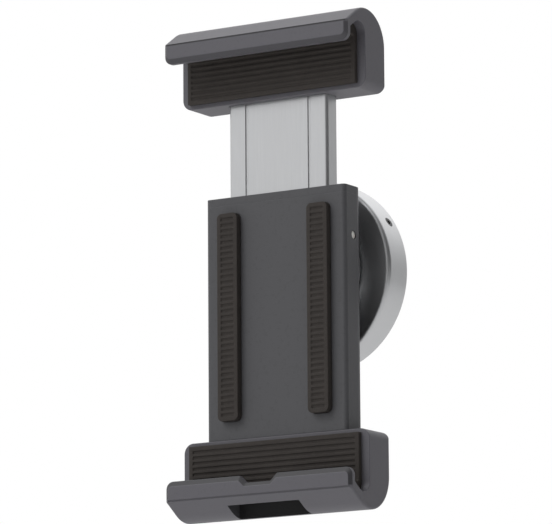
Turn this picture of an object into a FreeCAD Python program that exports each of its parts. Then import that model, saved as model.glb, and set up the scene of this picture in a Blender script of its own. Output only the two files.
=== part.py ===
import FreeCAD, Part
import math
import os

# A wall-mounted tablet stand. Two hooked jaws grip the tablet's long edges: the lower jaw is fixed to a
# flat housing, and the upper jaw rides on a sliding channel, which a small eccentric cam locks. A pin
# tool pushed into the housing's side frees the cam. The housing turns on a post inside a round aluminium
# rosette, and clicks into place every quarter turn. The rosette slides over a plate that is screwed to
# the wall, and three set screws lock it there.
#
# Sizes are in millimetres. X runs across, Y runs into the wall and Z is up. The origin is on the swivel
# axis at the wall plate's back. "out" is a distance from the wall, so a point at out has Y = -out. The
# jaws' sizes are measured from the seat, which is where the tablet's edge rests.

Vector = FreeCAD.Vector
OUTWARD = Vector(0, -1, 0)
ACROSS = Vector(1, 0, 0)
UP = Vector(0, 0, 1)
PARTS_FOLDER = "parts"
SIDES = (-1, 1)

# --- Clamp: the distance between the two seats that the tablet's edges stand in, and how far the upper jaw
# slides in and out from there
opening_at_rest = 169.5
travel_in = 35.5
travel_out = 51.5

# --- Depth, outwards from the wall
head_back = 21.7
jaw_block_depth = 14.7
groove_width = 10.6
lip_thickness = 3.0
tablet_thickness = 7.5
tablet_face_gap = 1.0

# --- Jaws
jaw_width = 82.0
jaw_crown = 10.45
jaw_back_radius = 13.5
jaw_slope = 33.4
jaw_wall = 3.4
groove_radius = 4.5
crease_radius = 0.9
crease_groove_radius = 0.4
crease_groove_depth = 0.25
jaw_end_radius = 0.9
edge_softness = 0.25
lip_reach = 4.2
lip_bevel_depth = 1.1
lip_bevel_height = 2.1
lip_bevel_width = 1.4
lip_corner_radius = 3.0
jaw_block_height = 20.0
block_corner_radius = 4.0
window_width = 31.4
window_depth = 9.6
window_set_back = 0.3
window_corner_radius = 1.5
notch_floor_width = 10.6
notch_mouth_width = 16.4
notch_depth = 2.8
notch_bevel = 1.5
notch_corner_radius = 0.9

# --- Rubber
liner_thickness = 0.9
liner_seat_radius = 1.0
liner_end_margin = 3.5
liner_edge_margin = 1.6
pad_width = 9.0
pad_spacing = 40.0
pad_recess = 0.8
pad_low_margin = 7.0
pad_top_margin = 3.5
pad_corner_radius = 2.0

# --- Housing
housing_width = 62.0
housing_inset = 0.6
floor_thickness = 2.4
side_wall = 2.2
cover_thickness = 2.1
housing_back_radius = 5.0
housing_front_radius = 1.6
closing_gap = 0.5
joint_line = 0.1
bezel_height = 3.0
bezel_collar_height = 1.5
lug_length = 12.0
lug_width = 5.2
lug_root = 4.0

# --- Arm
arm_width = 44.0
arm_depth = 6.8
arm_wall = 2.4
arm_corner_radius = 1.2
arm_run_depth = 22.0
arm_end_gap = 0.5
arm_top_rise = 1.5
arm_groove_width = 1.2
arm_groove_depth = 0.4
arm_groove_spacing = 28.0
slot_gap = 0.2
web_gap = 0.4
floor_gap = 0.2
run_gap = 0.35
shoe_height = 10.0
shoe_ear_width = 5.8
stop_rib_height = 2.2
stop_rib_width = 4.0
stop_rib_rise = 3.2
guide_thickness = 1.2
guide_gap = 0.2
guide_rib_thickness = 1.2
guide_end_gap = 0.25
guide_cam_gap = 2.45

# --- Cam lock and its release
cam_pivot_height = 4.0
cam_offset = 1.0
cam_contact_gap = 0.05
cam_hub_radius = 2.0
cam_thickness = 3.8
cam_set_out = 1.0
cam_pin_radius = 1.0
cam_wall_gap = 0.2
cam_boss_radius = 2.0
cam_tail_rise = 8.5
cam_tail_thickness = 1.6
cam_tail_face = 0.4
plunger_height = 6.0
plunger_radius = 1.5
plunger_head_radius = 2.2
plunger_head_thickness = 0.9
plunger_recess = 0.5
plunger_touch_gap = 0.1
cam_spring_wire = 0.5
cam_spring_tail_leg = 7.5
cam_spring_wall_leg = 4.0

# --- Swivel
plate_radius = 33.5
plate_thickness = 2.5
plate_rim_height = 8.0
plate_rim_wall = 2.0
wall_hole_radius = 2.5
wall_hole_circle = 48.0
wall_hole_count = 4
diagonal_turn = 45.0
rosette_wall = 3.0
rosette_gap = 0.5
rosette_lift = 0.3
rosette_depth = 13.5
rosette_front_thickness = 5.0
rosette_hole_radius = 19.0
rosette_edge_radius = 1.5
post_radius = 8.0
post_flange_radius = 29.5
post_flange_thickness = 2.5
key_step = 1.0
index_thickness = 2.2
index_notch_radius = 1.15
index_notch_count = 4
index_ring_radius = 17.0
collar_radius = 25.0
collar_gap = 0.5
collar_edge_radius = 1.0
spigot_radius = 17.5
detent_thickness = 0.5
detent_inner_radius = 13.5
detent_outer_radius = 17.0
detent_bump_radius = 0.95
detent_lift = 0.15
detent_room = 1.3
ridge_margin = 0.4
bush_wall = 1.95
bush_flange_radius = 12.5
bush_flange_thickness = 1.2
washer_radius = 11.6
washer_thickness = 0.5
washer_height = 1.0
retainer_radius = 12.0
retainer_thickness = 2.0

# --- Fits
running_gap = 0.05
loose_gap = 0.1
thread_gap = 0.05
seat_gap = 0.02
tip_gap = 0.3

# --- How far a cutter runs past what it cuts, and a joined shape runs into what it joins
past = 1.0

# --- Edges that meet at less than this angle, in degrees, are left as they are when a shape is softened
sharp_angle = 12.0

# --- Fasteners: radius of the shank and of the head, height of the head, and radius of the socket
M2_5 = {"shank": 1.25, "head": 2.25, "head_height": 1.4, "socket": 0.75}
M3 = {"shank": 1.5, "head": 2.75, "head_height": 1.5, "socket": 0.9}
M4 = {"shank": 2.0, "head": 4.0, "head_height": 2.0, "socket": 1.3}
M5 = {"shank": 2.5, "head": 4.4, "head_height": 1.9, "socket": 1.6}
socket_depth = 0.9
head_gap = 0.1
set_screw_radius = 2.0
set_screw_tip_radius = 1.2
set_screw_tip = 1.6
set_screw_out = 5.0
set_screw_count = 3
shell_screw_top_margin = 5.25
shell_screw_middle = -20.0
shell_screw_low_margin = 7.65
shell_boss_radius = 2.6
cover_boss_length = 3.4
boss_gap = 0.1
collar_screw_circle = 40.0
collar_screw_count = 4
collar_screw_length = 7.5
post_screw_circle = 50.0
post_screw_count = 4
post_screw_length = 6.5
retainer_screw_length = 14.0
jaw_screw_spacing = 22.0
jaw_screw_heights = (8.0, 15.5)
jaw_screw_bite = 1.8
lug_screw_bite = 6.0
shoe_screw_spacing = 16.0

# --- Places and sizes that follow from the sizes above
opening_closed = opening_at_rest - travel_in
opening_widest = opening_at_rest + travel_out
seat = opening_at_rest / 2
block_front = head_back + jaw_block_depth
lip_back = block_front + groove_width
lip_front = lip_back + lip_thickness
tablet_back = lip_back - tablet_face_gap - tablet_thickness
housing_back = head_back + housing_inset
housing_front = block_front - housing_inset
floor_front = housing_back + floor_thickness
cover_back = housing_front - cover_thickness
jaw_inner = seat - jaw_block_height
housing_top = opening_closed - seat - jaw_block_height - closing_gap
housing_bottom = -jaw_inner + joint_line
shell_top = housing_top - bezel_height
arm_front = cover_back - web_gap
arm_back = arm_front - arm_depth
web_back = arm_front - arm_wall
run_bottom = -jaw_inner - arm_run_depth
arm_bottom = run_bottom + arm_end_gap + travel_in
arm_engagement = housing_top - arm_bottom - (opening_widest - opening_at_rest)
arm_top = seat + arm_top_rise
arm_side = arm_width / 2
guide_face = arm_side + guide_gap
rib_face = guide_face + guide_thickness
rib_back = rib_face + guide_rib_thickness
inner_side = housing_width / 2 - side_wall
boss_across = (rib_face + inner_side) / 2
lug_across = inner_side - joint_line - lug_width / 2
cam_across = inner_side - cam_hub_radius - cam_wall_gap
cam_radius = cam_across - arm_side - cam_contact_gap
cam_back = arm_back + cam_set_out
cam_front = cam_back + cam_thickness
plunger_out = (cam_back + cam_front) / 2
guide_top_left = shell_top - bezel_collar_height - guide_end_gap
guide_top_right = cam_pivot_height - cam_offset - cam_radius - guide_cam_gap
shell_screw_heights = (shell_top - shell_screw_top_margin, shell_screw_middle,
                       housing_bottom + shell_screw_low_margin)
flange_front = rosette_depth - rosette_front_thickness
flange_back = flange_front - post_flange_thickness
index_front = flange_front + index_thickness
spigot_back = index_front + detent_room
collar_back = rosette_depth + collar_gap
key_radius = post_radius + key_step
key_flat = post_radius
bush_radius = post_radius + running_gap + bush_wall
washer_front = floor_front + washer_height
retainer_front = washer_front + retainer_thickness
rosette_radius = plate_radius + rosette_gap + rosette_wall
ear_inner = arm_side - arm_wall - loose_gap - shoe_ear_width


# --- Simple shapes placed by distance out from the wall

def at(x, out, z):
    """The point at x across, out from the wall and z up."""
    return Vector(x, -out, z)


def block(x0, x1, out0, out1, z0, z1):
    """A box between two places across, two distances from the wall and two heights."""
    return Part.makeBox(x1 - x0, out1 - out0, z1 - z0, at(x0, out1, z0))


def strip(middle, width):
    """The left and right faces of something with that middle and width."""
    return middle - width / 2, middle + width / 2


def rod_out(radius, out0, out1, x=0, z=0):
    """A cylinder that points away from the wall."""
    return Part.makeCylinder(radius, out1 - out0, at(x, out0, z), OUTWARD)


def rod_across(radius, x0, x1, out, z):
    """A cylinder along X."""
    return Part.makeCylinder(radius, x1 - x0, at(x0, out, z), ACROSS)


def rod_radial(radius, start, end, out, angle):
    """A cylinder square to the swivel axis, between two distances from it, at an angle in degrees."""
    direction = Vector(math.cos(math.radians(angle)), 0, math.sin(math.radians(angle)))
    return Part.makeCylinder(radius, end - start, at(0, out, 0) + direction * start, direction)


def rounded_outline(corners, out):
    """A closed wire in a plane parallel to the wall, from corners given as (x, z, corner radius)."""
    points = [at(x, out, z) for x, z, radius in corners]
    edges = []
    ends = []
    for k, (x, z, radius) in enumerate(corners):
        corner = points[k]
        back = (points[k - 1] - corner).normalize()
        ahead = (points[(k + 1) % len(points)] - corner).normalize()
        if radius == 0:
            ends.append((corner, corner))
            continue
        half_angle = back.getAngle(ahead) / 2
        reach = radius / math.tan(half_angle)
        centre = corner + (back + ahead).normalize() * (radius / math.sin(half_angle))
        start, end = corner + back * reach, corner + ahead * reach
        middle = centre + (corner - centre).normalize() * radius
        ends.append((start, end))
        edges.append(Part.Arc(start, middle, end).toShape())
    for k, (start, end) in enumerate(ends):
        edges.append(Part.makeLine(end, ends[(k + 1) % len(ends)][0]))
    return Part.Wire(Part.__sortEdges__(edges))


def hexagon_out(radius, out0, out1, x=0, z=0):
    """A six-sided prism that points away from the wall."""
    angles = [math.radians(60 * k) for k in range(7)]
    corners = [at(x + radius * math.cos(a), out0, z + radius * math.sin(a)) for a in angles]
    return Part.Face(Part.makePolygon(corners)).extrude(OUTWARD * (out1 - out0))


def ring_section(corners):
    """A solid of revolution about the swivel axis, from corners given as (radius, out)."""
    loop = [at(radius, out, 0) for radius, out in corners]
    return Part.Face(Part.makePolygon(loop + loop[:1])).revolve(Vector(0, 0, 0), OUTWARD, 360)


def edges_where(shape, test):
    """The shape's edges whose every point passes the test."""
    return [e for e in shape.Edges if all(test(p) for p in e.discretize(5))]


def round_edges(shape, radius, test):
    """The shape with the edges that pass the test rounded."""
    return shape.makeFillet(radius, edges_where(shape, test))


def edge_angle(shape, edge):
    """The angle in degrees between the two faces that meet at an edge, or 0 where there is only one."""
    faces = shape.ancestorsOfType(edge, Part.Face)
    if len(faces) != 2:
        return 0
    middle = edge.valueAt((edge.FirstParameter + edge.LastParameter) / 2)
    first, second = [face.normalAt(*face.Surface.parameter(middle)) for face in faces]
    return math.degrees(first.getAngle(second))


def soften(shape, radius, leave):
    """The shape with its sharp edges slightly rounded, but for those whose middle is where leave says."""
    return shape.makeFillet(radius, [e for e in shape.Edges if edge_angle(shape, e) > sharp_angle
                                     and not leave(e.valueAt((e.FirstParameter + e.LastParameter) / 2))])


def near(a, b):
    """Whether two lengths agree to a thousandth of a millimetre."""
    return abs(a - b) < 1e-3


def on_circle(diameter, count, turn=0.0):
    """The (x, z) places of holes evenly spaced on a circle about the swivel axis."""
    angles = [math.radians(turn + 360.0 * k / count) for k in range(count)]
    return [(diameter / 2 * math.cos(a), diameter / 2 * math.sin(a)) for a in angles]


def fused(shapes):
    """One solid made of several that touch or overlap."""
    first, *rest = shapes
    return first.fuse(rest).removeSplitter() if rest else first


# --- Fasteners

def flat_head_screw(size, length, out_head, facing, x, z):
    """A countersunk screw along the swivel axis. Its flat head is at out_head and its tip points the
    other way: facing is 1 when the head faces away from the wall, and -1 when it faces the wall."""
    def rod(radius, start, end):
        return Part.makeCylinder(radius, end - start, at(x, out_head - facing * start, z), -OUTWARD * facing)

    head = Part.makeCone(size["head"], size["shank"], size["head_height"], at(x, out_head, z),
                         -OUTWARD * facing)
    shank = rod(size["shank"], size["head_height"], length)
    socket = hexagon_out(size["socket"], min(out_head, out_head - facing * socket_depth),
                         max(out_head, out_head - facing * socket_depth), x, z)
    return fused([head, shank]).cut(socket)


def flat_head_hole(size, length, out_head, facing, x, z):
    """The space that a countersunk screw needs, with a thread's clearance all round."""
    head = Part.makeCone(size["head"] + head_gap, size["shank"] + head_gap, size["head_height"],
                         at(x, out_head, z), -OUTWARD * facing)
    shank = Part.makeCylinder(size["shank"] + thread_gap, length + tip_gap, at(x, out_head, z),
                              -OUTWARD * facing)
    return fused([head, shank])


def pan_head_screw(size, length, out_seat, x, z):
    """A screw whose head lies on out_seat, on its wall side, and whose shank points away from the wall."""
    head = rod_out(size["head"], out_seat - size["head_height"], out_seat, x, z)
    shank = rod_out(size["shank"], out_seat, out_seat + length, x, z)
    socket = hexagon_out(size["socket"], out_seat - size["head_height"],
                         out_seat - size["head_height"] + socket_depth, x, z)
    return fused([head, shank]).cut(socket)


def pan_head_hole(size, length, out_seat, out_face, x, z):
    """The space that such a screw needs, with its head's counterbore open at out_face."""
    head = rod_out(size["head"] + head_gap, out_face - past, out_seat, x, z)
    shank = rod_out(size["shank"] + thread_gap, out_seat, out_seat + length + tip_gap, x, z)
    return fused([head, shank])


# --- The jaws' hooked section

def slope():
    """The jaws' sloping face's angle, in radians."""
    return math.radians(jaw_slope)


def jaw_section_points():
    """The upper jaw's centres, tangent point and corners, as (out, height above the seat)."""
    centre = (head_back + jaw_back_radius, jaw_crown - jaw_back_radius)
    tangent = (centre[0] + jaw_back_radius * math.sin(slope()),
               centre[1] + jaw_back_radius * math.cos(slope()))
    crease = tangent[1] - math.tan(slope()) * (lip_front - tangent[0])

    def inner_line(out):
        return crease + math.tan(slope()) * (lip_front - out) - jaw_wall / math.cos(slope())

    groove_out = block_front + groove_radius
    return {
        "centre": centre,
        "tangent": tangent,
        "crease": crease,
        "throat": inner_line(lip_back),
        "groove": (groove_out, inner_line(groove_out) - groove_radius / math.cos(slope())),
    }


def arc_about(centre, radius, first, last):
    """An arc in the upper jaw's section. Its two angles are measured from straight up, outwards."""
    def on_arc(angle):
        return at(0, centre[0] + radius * math.sin(angle), seat + centre[1] + radius * math.cos(angle))

    return Part.Arc(on_arc(first), on_arc((first + last) / 2), on_arc(last)).toShape()


def line_through(*points):
    """Straight edges through points given as (out, height above the seat)."""
    places = [at(0, out, seat + height) for out, height in points]
    return [Part.makeLine(a, b) for a, b in zip(places, places[1:])]


def end_of(edge, last):
    """The (out, height above the seat) of an edge's first or last point."""
    point = edge.valueAt(edge.LastParameter if last else edge.FirstParameter)
    return -point.y, point.z - seat


def groove_edges(lip_height, wall_height):
    """The groove's inside, from the lip at one height, round its arc, to its rear wall at another."""
    p = jaw_section_points()
    arc = arc_about(p["groove"], groove_radius, slope(), -math.pi / 2)
    front = line_through((lip_back, lip_height), (lip_back, p["throat"]), end_of(arc, False))
    rear = line_through(end_of(arc, True), (block_front, wall_height))
    return front + [arc] + rear


def lip_outline(out, bevelled, notched):
    """The lip's outline: at its back, or at its front, where its bevel has taken its edges in. It may have
    the notch, whose sides take the bevel too."""
    half = jaw_width / 2 - (lip_bevel_width if bevelled else 0)
    edge = seat - lip_reach + (lip_bevel_height if bevelled else 0)
    corner = lip_corner_radius - (lip_bevel_width if bevelled else 0)
    top = seat + jaw_crown + past
    corners = [(-half, edge, corner)]
    if notched:
        inset = notch_bevel if bevelled else 0
        lean = (notch_mouth_width - notch_floor_width) / 2 / notch_depth
        sideways = inset * math.hypot(1, lean)
        floor = seat - lip_reach + notch_depth + inset

        def notch_half(height):
            return notch_mouth_width / 2 - lean * (height - seat + lip_reach) + sideways

        radius = notch_corner_radius
        corners += [(-notch_half(edge), edge, radius), (-notch_half(floor), floor, radius),
                    (notch_half(floor), floor, radius), (notch_half(edge), edge, radius)]
    corners += [(half, edge, corner), (half, top, 0), (-half, top, 0)]
    return rounded_outline(corners, out)


def jaw_form(notched):
    """The space that the jaw's outer form fills when it is seen from the front."""
    bevel_back = lip_front - lip_bevel_depth
    half = jaw_width / 2
    behind = block(-half, half, head_back - past, lip_back - jaw_wall, jaw_inner, seat + jaw_crown + past)
    behind = round_edges(behind, block_corner_radius, lambda q: near(abs(q.x), half) and near(q.z, jaw_inner))
    lip = Part.Face(lip_outline(lip_back - jaw_wall, False, notched)).extrude(
        OUTWARD * (bevel_back - lip_back + jaw_wall))
    bevel = Part.makeLoft([lip_outline(bevel_back, False, notched), lip_outline(lip_front, True, notched)],
                          True, True)
    return fused([behind, lip, bevel])


def jaw_blank(notched=False):
    """The upper jaw's outer form: its hooked section run across, with its crease and ends rounded."""
    p = jaw_section_points()
    back = arc_about(p["centre"], jaw_back_radius, -math.pi / 2, slope())
    section = Part.Face(Part.Wire(
        line_through((block_front, -jaw_block_height), (head_back, -jaw_block_height), end_of(back, False))
        + [back]
        + line_through(end_of(back, True), (lip_front, p["crease"]), (lip_front, -lip_reach),
                       (lip_back, -lip_reach))
        + groove_edges(-lip_reach, -jaw_block_height)))
    section.translate(Vector(-jaw_width / 2, 0, 0))
    jaw = section.extrude(ACROSS * jaw_width)
    jaw = round_edges(jaw, crease_radius, lambda q: near(-q.y, lip_front) and near(q.z, seat + p["crease"]))
    centre = at(0, p["centre"][0], seat + p["centre"][1])

    def on_end(q):
        on_slope = near(q.z, seat + p["crease"] + math.tan(slope()) * (lip_front + q.y))
        on_back = near(math.hypot(q.y - centre.y, q.z - centre.z), jaw_back_radius) or near(-q.y, head_back)
        return near(abs(q.x), jaw_width / 2) and (on_slope or on_back)

    def at_back_corner(q):
        return -q.y < head_back + 2 * jaw_end_radius and q.z < jaw_inner + block_corner_radius + edge_softness

    jaw = round_edges(jaw, jaw_end_radius, on_end).common(jaw_form(notched))
    return soften(jaw, edge_softness, at_back_corner).cut(crease_groove())


def crease_groove():
    """The fine groove along the crease between the lip's front and the sloping face."""
    turn = (math.pi / 2 - slope()) / 2
    reach = crease_radius / math.cos(turn) - crease_radius
    off = crease_groove_radius - crease_groove_depth - reach
    crease = jaw_section_points()["crease"]
    return rod_across(crease_groove_radius, -jaw_width, jaw_width, lip_front + off * math.cos(turn),
                      seat + crease + off * math.sin(turn))


def mirrored(shape):
    """The same shape turned over to the lower jaw's place."""
    return shape.mirror(Vector(0, 0, 0), UP)


def jaw_screw_places():
    """The (x, z) places of the upper jaw's screws."""
    return [(side * jaw_screw_spacing / 2, jaw_inner + up) for side in SIDES for up in jaw_screw_heights]


def jaw_screw_seat():
    """How far out the upper jaw's screw heads seat."""
    return head_back + M3["head_height"] + head_gap


def jaw_screw_length():
    return web_back + jaw_screw_bite - jaw_screw_seat()


def upper_jaw():
    """The upper jaw, slotted for the arm's channel and bored from behind for its four screws."""
    slot = arm_section(slot_gap, jaw_inner - past, arm_top + slot_gap)
    holes = [pan_head_hole(M3, jaw_screw_length(), jaw_screw_seat(), head_back, x, z)
             for x, z in jaw_screw_places()]
    return jaw_blank().cut(slot).cut(holes)


def upper_jaw_screws():
    """Four screws through the upper jaw's back into the arm."""
    return [pan_head_screw(M3, jaw_screw_length(), jaw_screw_seat(), x, z) for x, z in jaw_screw_places()]


def charging_window():
    """The cutter for the cable window in the lower jaw's underside."""
    front = block_front - window_set_back + window_depth
    half = window_width / 2
    window = block(-half, half, block_front - window_set_back, front, -seat - jaw_crown - past, -seat)
    return round_edges(window, window_corner_radius, lambda q: near(abs(q.x), half))


def lug_screw_seat():
    return head_back + M3["head_height"] + head_gap


def lug_screw_place(side):
    """The (x, z) place of the screw that holds a housing lug in the lower jaw."""
    return side * lug_across, -jaw_inner - lug_length / 2


def lug_screw_length():
    return floor_front + lug_screw_bite - lug_screw_seat()


def lower_jaw():
    """The lower jaw: the same hook turned over, hollow for the arm's end, with a window and a notch."""
    run_side = arm_side + run_gap
    run = block(-run_side, run_side, floor_front, cover_back, run_bottom, -jaw_inner + past)
    pockets = [
        block(*strip(side * lug_across, lug_width + 2 * joint_line), floor_front, cover_back,
              -jaw_inner - lug_length - joint_line, -jaw_inner + past)
        for side in SIDES
    ]
    holes = [pan_head_hole(M3, lug_screw_length(), lug_screw_seat(), head_back, *lug_screw_place(side))
             for side in SIDES]
    return mirrored(jaw_blank(notched=True)).cut([run, charging_window()] + pockets + holes)


def lower_jaw_screws():
    """Two screws through the lower jaw's back into the housing's lugs."""
    return [pan_head_screw(M3, lug_screw_length(), lug_screw_seat(), *lug_screw_place(side))
            for side in SIDES]


def jaw_liner():
    """The upper jaw's rubber liner: a channel in the groove that the tablet's edge stands in, with a pad
    where the tablet's back rests."""
    lip_end = -lip_reach + liner_edge_margin
    pad_low = -jaw_block_height + liner_edge_margin
    lip_face = lip_back - liner_thickness
    edges = groove_edges(lip_end, pad_low)
    edges += line_through((block_front, pad_low), (tablet_back, pad_low), (tablet_back, 0), (lip_face, 0),
                          (lip_face, lip_end), (lip_back, lip_end))
    section = Part.Face(Part.Wire(edges))
    half = jaw_width / 2 - liner_end_margin
    section.translate(Vector(-half, 0, 0))
    return round_edges(section.extrude(ACROSS * 2 * half), liner_seat_radius,
                       lambda q: near(q.z, seat) and (near(-q.y, tablet_back) or near(-q.y, lip_face)))


def lower_liner():
    """The lower jaw's liner, open over the charging window and behind the notch."""
    half = window_width / 2 + loose_gap
    window = block(-half, half, tablet_back, block_front - window_set_back + window_depth + loose_gap,
                   -seat - jaw_crown, -seat + past)
    wall = block(-half, half, block_front - past, lip_back, -seat - jaw_crown, -seat - liner_seat_radius)
    notch_half = notch_mouth_width / 2 + liner_edge_margin
    notch = block(-notch_half, notch_half, lip_back - liner_thickness - past, lip_back + past, -seat - past,
                  -seat + lip_reach)
    return mirrored(jaw_liner()).cut([window, wall, notch])


# --- The arm

def arm_section(gap, low, high):
    """The arm's channel form, grown by gap on every face, between two heights."""
    side = arm_side + gap
    outer = block(-side, side, arm_back - gap, arm_front + gap, low, high)
    inner_side_face = arm_side - arm_wall - gap
    inner = block(-inner_side_face, inner_side_face, arm_back - gap - past, web_back - gap,
                  low - past, high + past)
    return outer.cut(inner)


def shoe_screw_place(side):
    return side * shoe_screw_spacing / 2, arm_bottom + shoe_height / 2


def shoe_web_back():
    """How far out the back of the shoe's thin middle is."""
    return retainer_front + 2 * loose_gap


def arm_channel():
    """The sliding aluminium channel, with its screw holes and two fine grooves down its front."""
    arm = arm_section(0, arm_bottom, arm_top)
    arm = round_edges(arm, arm_corner_radius,
                      lambda q: near(abs(q.x), arm_side) and near(-q.y, arm_front))
    grooves = [
        block(*strip(side * arm_groove_spacing / 2, arm_groove_width), arm_front - arm_groove_depth,
              arm_front + past, arm_bottom - past, arm_top + past)
        for side in SIDES
    ]
    hole_end = web_back + jaw_screw_bite + thread_gap
    jaw_holes = [rod_out(M3["shank"] + thread_gap, web_back - past, hole_end, x, z)
                 for x, z in jaw_screw_places()]
    shoe_holes = [rod_out(M2_5["shank"] + thread_gap, web_back - past, hole_end, *shoe_screw_place(side))
                  for side in SIDES]
    return arm.cut(grooves + jaw_holes + shoe_holes)


def arm_shoe():
    """The plastic shoe in the arm's lower end. Its two ears slide on the housing's floor."""
    ear_outer = ear_inner + shoe_ear_width
    top = arm_bottom + shoe_height
    web = block(-ear_outer, ear_outer, shoe_web_back(), web_back, arm_bottom, top)
    ears = [block(min(side * ear_inner, side * ear_outer), max(side * ear_inner, side * ear_outer),
                  floor_front + floor_gap, web_back, arm_bottom, top) for side in SIDES]
    holes = [pan_head_hole(M2_5, web_back - shoe_web_back(), shoe_web_back() + M2_5["head_height"],
                           shoe_web_back(), *shoe_screw_place(side)) for side in SIDES]
    return fused([web] + ears).cut(holes)


def arm_shoe_screws():
    """Two short screws that hold the shoe in the arm."""
    seat_out = shoe_web_back() + M2_5["head_height"]
    length = web_back + jaw_screw_bite - seat_out
    return [pan_head_screw(M2_5, length, seat_out, *shoe_screw_place(side)) for side in SIDES]


# --- The housing

def housing_form(out0, out1, low, high):
    """The housing's outer form between two distances out and two heights, with its long edges rounded."""
    side = housing_width / 2
    form = block(-side, side, housing_back, housing_front, low, high)
    for out, radius in ((housing_back, housing_back_radius), (housing_front, housing_front_radius)):
        form = round_edges(form, radius, lambda q, out=out: near(abs(q.x), side) and near(-q.y, out))
    return form.common(block(-side, side, out0, out1, low, high))


def shell_screw_places():
    return [(side * boss_across, up) for side in SIDES for up in shell_screw_heights]


def shell_screw_seat():
    return housing_back + M2_5["head_height"] + head_gap


def shell_screw_length():
    return cover_back + cover_thickness / 2 - shell_screw_seat()


def boss_split():
    """How far out the rear shell's bosses end and the front shell's begin."""
    return cover_back - cover_boss_length


def cam_pin_ends():
    """How far out the cam's pin starts and ends."""
    return floor_front - floor_thickness / 2, cover_back + cover_thickness / 2


def plunger_place():
    """The plunger's distance out and height."""
    return plunger_out, cam_pivot_height + plunger_height


def rear_shell():
    """The housing's rear shell: floor, side walls, guide ribs, screw bosses, arm stops and jaw lugs."""
    inside = block(-inner_side, inner_side, floor_front, housing_front, housing_bottom - past,
                   shell_top + past)
    shell = housing_form(housing_back, cover_back, housing_bottom, shell_top).cut(inside)
    ribs = [
        block(min(side * rib_face, side * rib_back), max(side * rib_face, side * rib_back), floor_front,
              arm_front, housing_bottom, top)
        for side, top in zip(SIDES, (guide_top_left, guide_top_right))
    ]
    bosses = [rod_out(shell_boss_radius, housing_back + past, boss_split() - boss_gap, x, z)
              for x, z in shell_screw_places()]
    cam_boss = rod_out(cam_boss_radius, floor_front - past, cam_back - cam_wall_gap, cam_across,
                       cam_pivot_height)
    return fused([shell, cam_boss] + ribs + bosses + arm_stops() + jaw_lugs()).cut(rear_shell_holes())


def arm_stops():
    """Two ribs on the housing's floor that stop the shoe's ears when the arm is fully out."""
    ear_middle = ear_inner + shoe_ear_width / 2
    stop_low = housing_top - arm_engagement + shoe_height + running_gap
    return [
        block(*strip(side * ear_middle, stop_rib_width), floor_front - past, floor_front + stop_rib_rise,
              stop_low, stop_low + stop_rib_height)
        for side in SIDES
    ]


def jaw_lugs():
    """Two lugs that reach down into the lower jaw, each with a root on the housing's floor."""
    lugs = []
    for side in SIDES:
        faces = strip(side * lug_across, lug_width)
        lugs += [
            block(*faces, floor_front + joint_line, cover_back - joint_line, -jaw_inner - lug_length,
                  housing_bottom + past),
            block(*faces, floor_front - past, cover_back - joint_line, housing_bottom,
                  housing_bottom + lug_root),
        ]
    return lugs


def rear_shell_holes():
    """The rear shell's holes: for the bush, its screws, the cam's pin and the plunger."""
    pin_back, pin_front = cam_pin_ends()
    out, height = plunger_place()
    holes = [rod_out(bush_radius + loose_gap, housing_back - past, floor_front + past)]
    holes += [flat_head_hole(M3, collar_screw_length, floor_front, 1, x, z)
              for x, z in on_circle(collar_screw_circle, collar_screw_count)]
    holes += [pan_head_hole(M2_5, shell_screw_length(), shell_screw_seat(), housing_back, x, z)
              for x, z in shell_screw_places()]
    holes += [pan_head_hole(M3, lug_screw_length(), lug_screw_seat(), head_back, *lug_screw_place(side))
              for side in SIDES]
    holes += [rod_out(cam_pin_radius + running_gap, pin_back, pin_front, cam_across, cam_pivot_height)]
    holes += [rod_across(plunger_radius + loose_gap, inner_side - past, housing_width / 2 + past, out,
                         height)]
    return holes


def pad_span():
    """The back pads' lowest and highest points."""
    return housing_bottom + pad_low_margin, shell_top - pad_top_margin


def back_pad_form(gap, front):
    """The two back pads' form, grown sideways by gap, from the bottom of their recesses to front."""
    low, high = pad_span()
    pads = []
    for side in SIDES:
        x0, x1 = strip(side * pad_spacing / 2, pad_width + 2 * gap)
        pad = block(x0, x1, housing_front - pad_recess, front, low - gap, high + gap)
        pads.append(round_edges(pad, pad_corner_radius + gap,
                                lambda q, x0=x0, x1=x1: (near(q.x, x0) or near(q.x, x1))
                                and (near(q.z, low - gap) or near(q.z, high + gap))))
    return pads


def front_shell():
    """The housing's front cover, with two pad recesses and bosses that take the shell screws."""
    plate = housing_form(cover_back, housing_front, housing_bottom, shell_top)
    room = block(-inner_side + loose_gap, inner_side - loose_gap, boss_split(), housing_front,
                 housing_bottom, shell_top)
    ribs = block(-rib_back - loose_gap, rib_back + loose_gap, boss_split() - past, cover_back,
                 housing_bottom - past, shell_top + past)
    bosses = [rod_out(shell_boss_radius, boss_split(), cover_back + past, x, z).common(room).cut(ribs)
              for x, z in shell_screw_places()]
    shell = fused([plate] + bosses)
    pin_back, pin_front = cam_pin_ends()
    tip = shell_screw_seat() + shell_screw_length() + tip_gap
    holes = [rod_out(M2_5["shank"] + thread_gap, boss_split() - past, tip, x, z)
             for x, z in shell_screw_places()]
    holes += [rod_out(cam_pin_radius + running_gap, pin_back, pin_front, cam_across, cam_pivot_height)]
    return shell.cut(holes + back_pad_form(loose_gap, housing_front + past))


def shell_screws():
    """Six screws from behind that hold the two shells together."""
    return [pan_head_screw(M2_5, shell_screw_length(), shell_screw_seat(), x, z)
            for x, z in shell_screw_places()]


def back_pads():
    """Two rubber strips on the housing's front that the tablet's back rests on."""
    return back_pad_form(0, tablet_back)


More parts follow.
